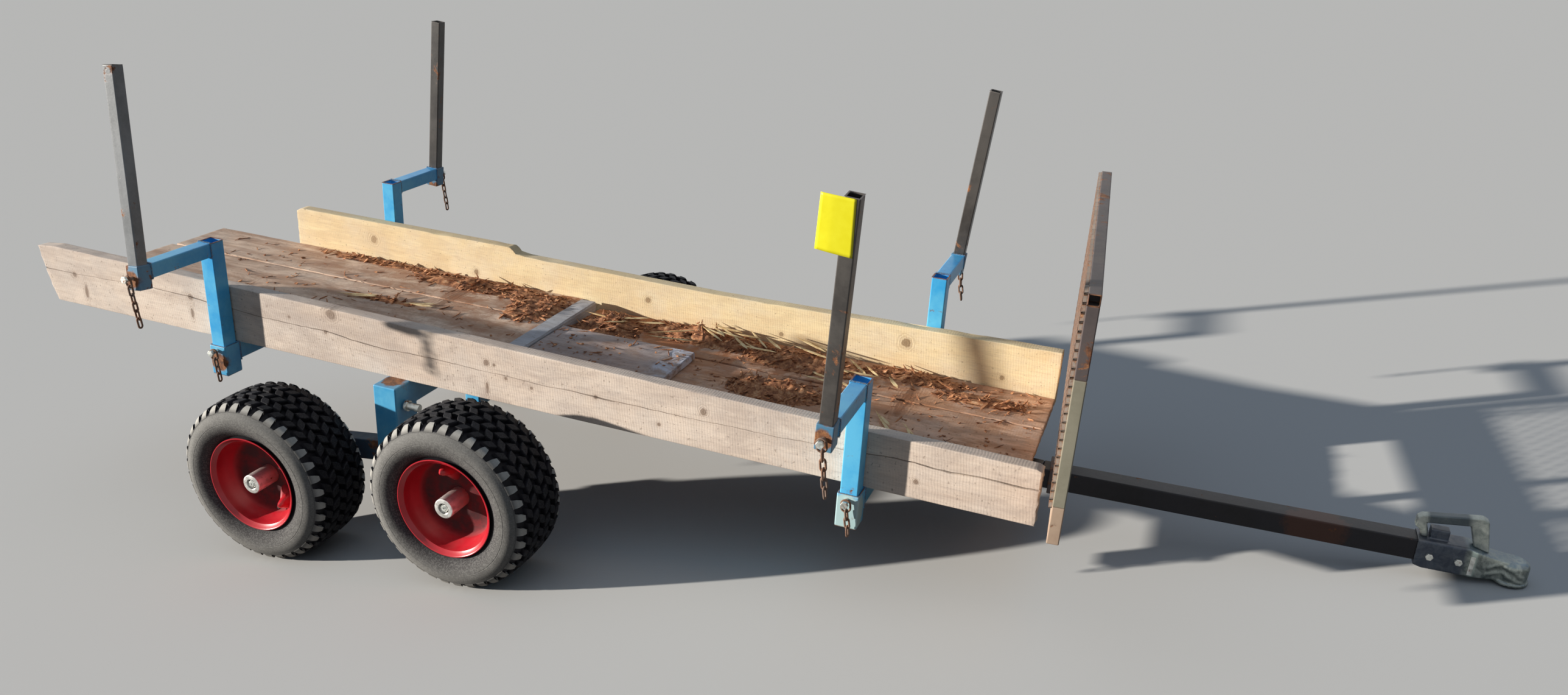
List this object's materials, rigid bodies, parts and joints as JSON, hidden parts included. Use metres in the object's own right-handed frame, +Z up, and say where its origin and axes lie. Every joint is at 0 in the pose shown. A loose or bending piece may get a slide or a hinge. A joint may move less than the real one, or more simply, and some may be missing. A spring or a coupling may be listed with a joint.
{
  "type": "atv forestry trailer",
  "caption": "Tandem-axle timber trailer for an ATV: plank bed on a steel spine, cranked stakes at the corners, mesh headboard, ball coupling.",
  "frame": {"origin": "middle of the trailer's box in X and Y, on the ground", "axes": "+X forward to the coupling, +Y to the trailer's left, +Z up"},
  "size_m": [4.5474, 1.5428, 1.4955],
  "materials": {
    "black_steel": "worn black paint over rust",
    "blue_paint": "faded blue paint",
    "zinc": "dull zinc plate",
    "galvanised": "weathered galvanising",
    "rusty_chain": "rusted",
    "grey_plank": "weathered grey-beige timber",
    "yellow_plank": "pale yellow timber",
    "deck_wood": "wet brown timber",
    "pale_wood": "pale worn timber",
    "headboard_steel": "rusted khaki paint",
    "tyre": "dusty rubber",
    "red_paint": "glossy red paint"
  },
  "bodies": {
    "chassis": {"spine": "black_steel", "drawbar": "black_steel", "bunk_front": "blue_paint", "bunk_rear": "blue_paint", "crossbar": "blue_paint", "lock_pins": "zinc", "chains": "rusty_chain", "axle_frame": "blue_paint", "walking_beam_right": "blue_paint", "walking_beam_left": "blue_paint", "bogie_pins": "zinc", "side_plank_right": "grey_plank", "side_plank_left": "yellow_plank", "deck_boards_rear": "deck_wood", "deck_boards_front": "deck_wood", "deck_batten": "pale_wood", "deck_patch": "deck_wood", "headboard_frame": "headboard_steel", "headboard_mesh": "headboard_steel", "headboard_post": "black_steel", "coupling_body": "galvanised", "coupling_handle": "galvanised", "coupling_bolts": "zinc", "stake_holder_front_right": "blue_paint", "stake_front_right": "black_steel", "stake_holder_front_left": "blue_paint", "stake_front_left": "black_steel", "stake_holder_rear_right": "blue_paint", "stake_rear_right": "black_steel", "stake_holder_rear_left": "blue_paint", "stake_rear_left": "black_steel"},
    "wheel_front_right": {"tyre_front_right": "tyre", "rim_front_right": "red_paint", "hub_front_right": "zinc"},
    "wheel_front_left": {"tyre_front_left": "tyre", "rim_front_left": "red_paint", "hub_front_left": "zinc"},
    "wheel_rear_right": {"tyre_rear_right": "tyre", "rim_rear_right": "red_paint", "hub_rear_right": "zinc"},
    "wheel_rear_left": {"tyre_rear_left": "tyre", "rim_rear_left": "red_paint", "hub_rear_left": "zinc"}
  },
  "joints": [
    {"name": "wheel_spin_front_right", "type": "hinge", "parent": "chassis", "child": "wheel_front_right", "pos_m": [-0.49978, -0.61728, 0.264], "axis": [0, 1, 0], "continuous": true},
    {"name": "wheel_spin_front_left", "type": "hinge", "parent": "chassis", "child": "wheel_front_left", "pos_m": [-0.49978, 0.63472, 0.264], "axis": [0, 1, 0], "continuous": true},
    {"name": "wheel_spin_rear_right", "type": "hinge", "parent": "chassis", "child": "wheel_rear_right", "pos_m": [-1.19178, -0.61728, 0.264], "axis": [0, 1, 0], "continuous": true},
    {"name": "wheel_spin_rear_left", "type": "hinge", "parent": "chassis", "child": "wheel_rear_left", "pos_m": [-1.19178, 0.63472, 0.264], "axis": [0, 1, 0], "continuous": true}
  ]
}
